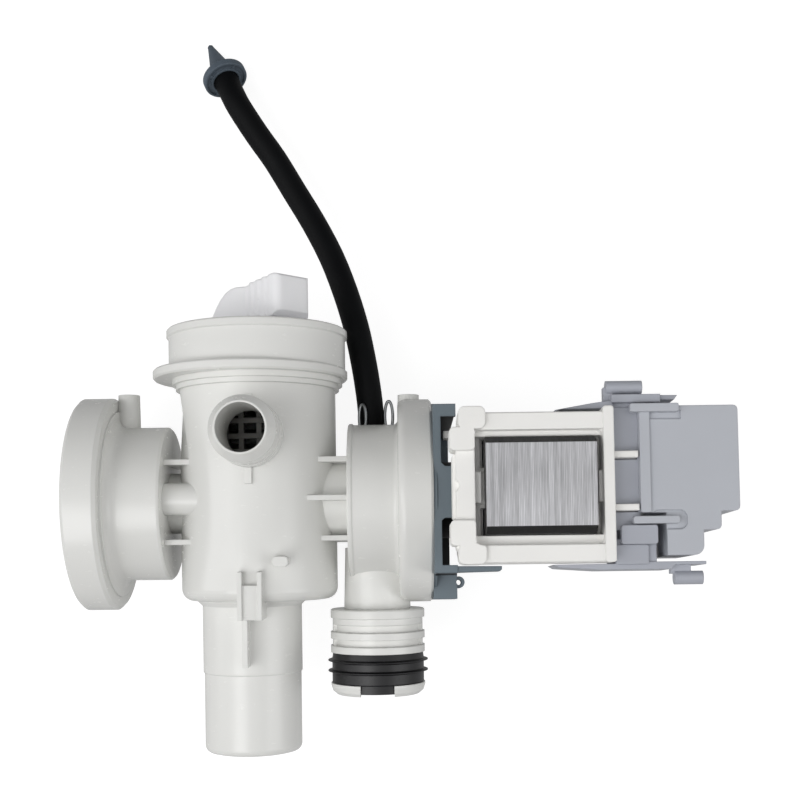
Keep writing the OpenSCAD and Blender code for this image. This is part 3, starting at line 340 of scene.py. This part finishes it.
def drawn_metal(name, tone, roughness, grain=(900, 900, 900)):
    """Drawn or ground metal with fine scratches."""
    finish = Finish(name, metallic=1.0)
    scratch = finish.noise(grain, detail=4.0, roughness=0.6)
    finish.set(base_color=finish.mix(scratch, shade(tone, 0.8), tone), roughness=roughness + scratch * 0.15)
    finish.relief(scratch, 0.01 * MM)
    return finish.material


def dress(material, *nodes):
    """Gives CAD nodes a finish."""
    for node in nodes:
        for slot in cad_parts[node].material_slots:
            slot.material = material


def tube(context, name, lines, diameter, material):
    """A tube along lines of points, each closed where its flag says so."""
    data = bpy.data.curves.new(name + "_line", "CURVE")
    data.dimensions = "3D"
    data.bevel_depth = diameter / 2
    data.bevel_resolution = 8
    data.use_fill_caps = True
    for points, closed in lines:
        line = data.splines.new("POLY")
        line.points.add(len(points) - 1)
        line.use_cyclic_u = closed
        line.use_smooth = True
        for point, place in zip(line.points, points):
            point.co = (*place, 1)
    data.materials.append(material)
    made = bpy.data.objects.new(name, data)
    context.collection.objects.link(made)
    return made


def curve_through(points, steps):
    """Points of a smooth curve through the given ones, with steps between each two."""
    path = []
    for i in range(len(points) - 1):
        a, b, c, d = points[max(i - 1, 0)], points[i], points[i + 1], points[min(i + 2, len(points) - 1)]
        for t in (step / steps for step in range(steps)):
            path.append(0.5 * (2 * b + (c - a) * t + (2 * a - 5 * b + 4 * c - d) * t ** 2
                               + (3 * b - a - 3 * c + d) * t ** 3))
    return path + [points[-1]]


class PUMP_OT_stage(bpy.types.Operator):
    """Camera over the pump, soft studio light and a pale floor"""
    bl_idname = "pump.stage"
    bl_label = "Stage"

    def execute(self, context):
        sizes = context.scene.pump_sizes
        self.camera(context, sizes)
        self.lights(context, sizes)
        self.floor(context)
        context.scene.view_settings.view_transform = "Standard"
        return {"FINISHED"}

    def camera(self, context, sizes):
        data = bpy.data.cameras.new("camera")
        data.sensor_width = 36
        data.lens = sizes.lens
        data.shift_y = CAMERA_SHIFT
        camera = bpy.data.objects.new("camera", data)
        camera.location = (CAMERA_PLACE[0] * MM, CAMERA_PLACE[1] * MM, AXIS * MM + sizes.camera_height)
        camera.rotation_euler = (0, 0, sizes.roll)
        context.collection.objects.link(camera)
        context.scene.camera = camera

    def lights(self, context, sizes):
        target = Vector(LAMP_TARGET) * MM
        for name, toward, width, length, power in (
            ("softbox", Vector((-0.4, -0.36, 0.84)), 0.7, 0.7, sizes.key_light),
            ("strip", Vector((-0.85, 0, 0.53)), 0.25, 1.2, sizes.strip_light),
            ("side", Vector((0.8, -0.25, 0.55)), 0.5, 0.8, sizes.side_light),
        ):
            data = bpy.data.lights.new(name, "AREA")
            data.shape = "RECTANGLE"
            data.size, data.size_y = width, length
            data.energy = power
            lamp = bpy.data.objects.new(name, data)
            lamp.location = target + toward * LAMP_DISTANCE
            lamp.rotation_euler = (-toward).to_track_quat("-Z", "Y").to_euler()
            context.collection.objects.link(lamp)
        world = bpy.data.worlds.new("studio")
        context.scene.world = world
        world.use_nodes = True
        sky = Shading(world.node_tree)
        behind = sky.part(sky.node("ShaderNodeTexCoord", output="Generated"), 1)
        fill = sizes.fill_light * (1 - sky.steps(behind.size(), 0.0, FILL_REACH) * FILL_LOSS)
        seen = sky.seen()
        background = world.node_tree.nodes["Background"].inputs
        sky.feed(background["Color"], (1, 1, 1))
        sky.feed(background["Strength"], seen + (1 - seen) * fill)

    def floor(self, context):
        mesh = bpy.data.meshes.new("floor")
        corners = [(-1, -1), (1, -1), (1, 1), (-1, 1)]
        mesh.from_pydata([(x * FLOOR_REACH, y * FLOOR_REACH, 0) for x, y in corners], [], [(0, 1, 2, 3)])
        floor = bpy.data.objects.new("floor", mesh)
        context.collection.objects.link(floor)
        tone = context.scene.pump_colours.floor
        finish = Finish("studio_floor", roughness=0.9, specular_ior_level=0.0,
                        emission_strength=context.scene.pump_sizes.floor_glow)
        finish.set(base_color=finish.mix(finish.noise((3, 3, 3)), shade(tone, 0.98), tone),
                   emission_color=finish.mix(finish.seen(), FLOOR_BOUNCE, (1, 1, 1)))
        mesh.materials.append(finish.material)


class PUMP_OT_drain_hose(bpy.types.Operator):
    """Black drain hose on its route from the pump chamber to the plug"""
    bl_idname = "pump.drain_hose"
    bl_label = "Drain hose"

    def execute(self, context):
        sizes, colours = context.scene.pump_sizes, context.scene.pump_colours
        route = [Vector((x, y, z + AXIS)) * MM for x, y, z in HOSE_ROUTE]
        path = curve_through(route, HOSE_STEPS)
        hose = tube(context, "drain_hose_tube", [(path, False)], sizes.hose_diameter,
                    rubber("hose_rubber", colours.hose, 0, roughness=0.5, gloss=0.12))
        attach(hose, "housing")
        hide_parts("drain_hose")
        length = sum((b - a).length for a, b in zip(path, path[1:]))
        return {"FINISHED"}


class PUMP_OT_hose_fittings(bpy.types.Operator):
    """Wire clip at the root of the hose and slate plug in its end"""
    bl_idname = "pump.hose_fittings"
    bl_label = "Hose clip and plug"

    def execute(self, context):
        sizes, colours = context.scene.pump_sizes, context.scene.pump_colours
        self.clip(context, sizes, drawn_metal("clip_wire", colours.wire, 0.22))
        slate = rubber("plug_rubber", colours.plug, sizes.edge, roughness=0.5)
        dress(slate, "drain_plug")
        self.nose(context, slate)
        return {"FINISHED"}

    def clip(self, context, sizes, material):
        """Two turns of wire round the hose and two oval ears."""
        turns = [math.tau * step / TURN_POINTS for step in range(TURN_POINTS)]
        root = Vector(HOSE_ROUTE[0]) + Vector((0, 0, AXIS))
        reach = (sizes.hose_diameter + sizes.clip_wire) / 2 / MM + CLIP_CLEARANCE
        lines = [[root + Vector((reach * math.cos(a), along, reach * math.sin(a))) for a in turns]
                 for along in CLIP_TURNS]
        for angle, height, outward in CLIP_EARS:
            out = Vector((math.cos(math.radians(angle)), 0, math.sin(math.radians(angle))))
            across = out if outward else Vector((-out.z, 0, out.x))
            middle = root + out * (reach + (EAR_STANDOFF if outward else 0))
            middle = middle + Vector((0, EAR_FOOT + height / 2, 0))
            lines.append([middle + across * EAR_HALF * math.cos(a) + Vector((0, height / 2 * math.sin(a), 0))
                          for a in turns])
        wire = tube(context, "hose_clip_wire", [([p * MM for p in line], True) for line in lines],
                    sizes.clip_wire, material)
        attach(wire, "housing")
        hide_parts("hose_clip")

    def nose(self, context, material):
        """Cone of the plug, turned about the line of the hose's end."""
        before, end = (Vector(point) + Vector((0, 0, AXIS)) for point in HOSE_ROUTE[-2:])
        turn = (end - before).to_track_quat("Z", "Y")
        angles = [math.tau * i / NOSE_SIDES for i in range(NOSE_SIDES)]
        places = [end + turn @ Vector((radius * math.cos(a), radius * math.sin(a), along))
                  for radius, along in PLUG_NOSE[:-1] for a in angles]
        places.append(end + turn @ Vector((0, 0, PLUG_NOSE[-1][1])))
        tip = len(places) - 1
        faces = []
        for start in range(0, tip, NOSE_SIDES):
            ends_in_tip = start + NOSE_SIDES == tip
            for i in range(NOSE_SIDES):
                here, beside = start + i, start + (i + 1) % NOSE_SIDES
                beyond = (tip,) if ends_in_tip else (beside + NOSE_SIDES, here + NOSE_SIDES)
                faces.append((here, beside, *beyond))
        faces.append(tuple(reversed(range(NOSE_SIDES))))
        mesh = bpy.data.meshes.new("plug_nose")
        mesh.from_pydata([place * MM for place in places], [], faces)
        mesh.materials.append(material)
        mesh.shade_smooth()
        nose = bpy.data.objects.new("plug_nose", mesh)
        context.collection.objects.link(nose)
        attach(nose, "plug")


class PUMP_OT_case(bpy.types.Operator):
    """White mouldings: filter case, blank port, volute and outlet barrel"""
    bl_idname = "pump.case"
    bl_label = "White case"

    def execute(self, context):
        sizes, colours = context.scene.pump_sizes, context.scene.pump_colours
        dress(moulded("white_plastic", colours.case, sizes.edge, roughness=0.24, mottle=0.02, parting=True),
              "filter_case", "circulation_port", "drain_volute", "outlet_barrel")
        return {"FINISHED"}


class PUMP_OT_filter(bpy.types.Operator):
    """Filter cap with its grip, and the strainer"""
    bl_idname = "pump.filter"
    bl_label = "Filter"

    def execute(self, context):
        sizes, colours = context.scene.pump_sizes, context.scene.pump_colours
        dress(moulded("milky_plastic", colours.cap, sizes.edge * 1.6, roughness=0.3, mottle=0.02,
                      subsurface_weight=0.4, subsurface_radius=(1, 1, 1), subsurface_scale=2 * MM),
              "filter_cap")
        # The strainer is given a dark grey as painted shade of the inside of the filter case.
        dress(moulded("lattice_plastic", colours.strainer, sizes.edge / 2), "strainer")
        return {"FINISHED"}


class PUMP_OT_seals(bpy.types.Operator):
    """Black rubber seals and the check flap"""
    bl_idname = "pump.seals"
    bl_label = "Seals"

    def execute(self, context):
        sizes, colours = context.scene.pump_sizes, context.scene.pump_colours
        dress(rubber("seal_rubber", colours.rubber, sizes.edge / 2, roughness=0.33, gloss=0.5),
              "outlet_seal", "valve_flap", "cap_gasket", "bracket_seal", "shaft_seal")
        return {"FINISHED"}


class PUMP_OT_motor(bpy.types.Operator):
    """Motor bracket, laminated core, coil frame and windings"""
    bl_idname = "pump.motor"
    bl_label = "Motor"

    def execute(self, context):
        sizes, colours = context.scene.pump_sizes, context.scene.pump_colours
        # The inside of the bracket's cage gets painted shade.
        dress(moulded("bracket_plastic", colours.bracket, sizes.edge, roughness=0.48, mottle=0.05,
                      painted_shade_box=CAGE_INSIDE), "motor_bracket")
        dress(laminated("laminations", colours.steel, sizes.sheet), "stator_core")
        dress(moulded("coil_plastic", colours.coil, sizes.edge * 1.4, roughness=0.5, mottle=0.05, peel=0.03),
              "coil_frame")
        dress(drawn_metal("winding_copper", colours.copper, 0.3, (60, 60, 3000)), "coil_windings")
        return {"FINISHED"}


class PUMP_OT_terminals(bpy.types.Operator):
    """Terminal carrier with its cable clips, cover and blades"""
    bl_idname = "pump.terminals"
    bl_label = "Terminals"

    def execute(self, context):
        sizes, colours = context.scene.pump_sizes, context.scene.pump_colours
        dress(moulded("carrier_plastic", colours.carrier, sizes.edge, roughness=0.36, mottle=0.03),
              "terminal_housing")
        dress(moulded("cover_plastic", colours.cover, sizes.edge, roughness=0.36, mottle=0.03),
              "terminal_cover")
        dress(drawn_metal("blade_brass", colours.brass, 0.3), "terminals")
        return {"FINISHED"}


class PUMP_OT_rotor(bpy.types.Operator):
    """Rotor, bearings and impeller inside the pump"""
    bl_idname = "pump.rotor"
    bl_label = "Rotor"

    def execute(self, context):
        sizes, colours = context.scene.pump_sizes, context.scene.pump_colours
        dress(moulded("bush_plastic", colours.bush, sizes.edge / 2),
              "bearing_holder", "front_bearing", "rear_bearing", "drive_dog")
        dress(drawn_metal("shaft_steel", colours.wire, 0.2, (200, 4000, 4000)), "rotor_shaft")
        dress(drawn_metal("ferrite", colours.magnet, 0.5), "rotor_magnet")
        dress(moulded("impeller_plastic", colours.magnet, sizes.edge / 2), "impeller")
        return {"FINISHED"}


class PUMP_PT_panel(bpy.types.Panel):
    """Buttons and settings of the drain pump"""
    bl_idname = "PUMP_PT_panel"
    bl_label = "Washer drain pump"
    bl_space_type = "VIEW_3D"
    bl_region_type = "UI"
    bl_category = "Pump"

    def draw(self, context):
        for operator in OPERATORS:
            self.layout.operator(operator.bl_idname)
        for group in (context.scene.pump_sizes, context.scene.pump_colours):
            box = self.layout.box()
            for name in group.__annotations__:
                box.prop(group, name)


OPERATORS = (
    PUMP_OT_stage, PUMP_OT_drain_hose, PUMP_OT_hose_fittings, PUMP_OT_case, PUMP_OT_filter, PUMP_OT_seals,
    PUMP_OT_motor, PUMP_OT_terminals, PUMP_OT_rotor,
)
CLASSES = (PumpColours, PumpSizes, *OPERATORS, PUMP_PT_panel)


def register():
    for made in CLASSES:
        bpy.utils.register_class(made)
    bpy.types.Scene.pump_colours = PointerProperty(type=PumpColours)
    bpy.types.Scene.pump_sizes = PointerProperty(type=PumpSizes)


def unregister():
    del bpy.types.Scene.pump_sizes
    del bpy.types.Scene.pump_colours
    for made in reversed(CLASSES):
        bpy.utils.unregister_class(made)


def main():
    register()
    bpy.ops.pump.stage()
    bpy.ops.pump.drain_hose()
    bpy.ops.pump.hose_fittings()
    bpy.ops.pump.case()
    bpy.ops.pump.filter()
    bpy.ops.pump.seals()
    bpy.ops.pump.motor()
    bpy.ops.pump.terminals()
    bpy.ops.pump.rotor()


if __name__ == "__main__":
    main()
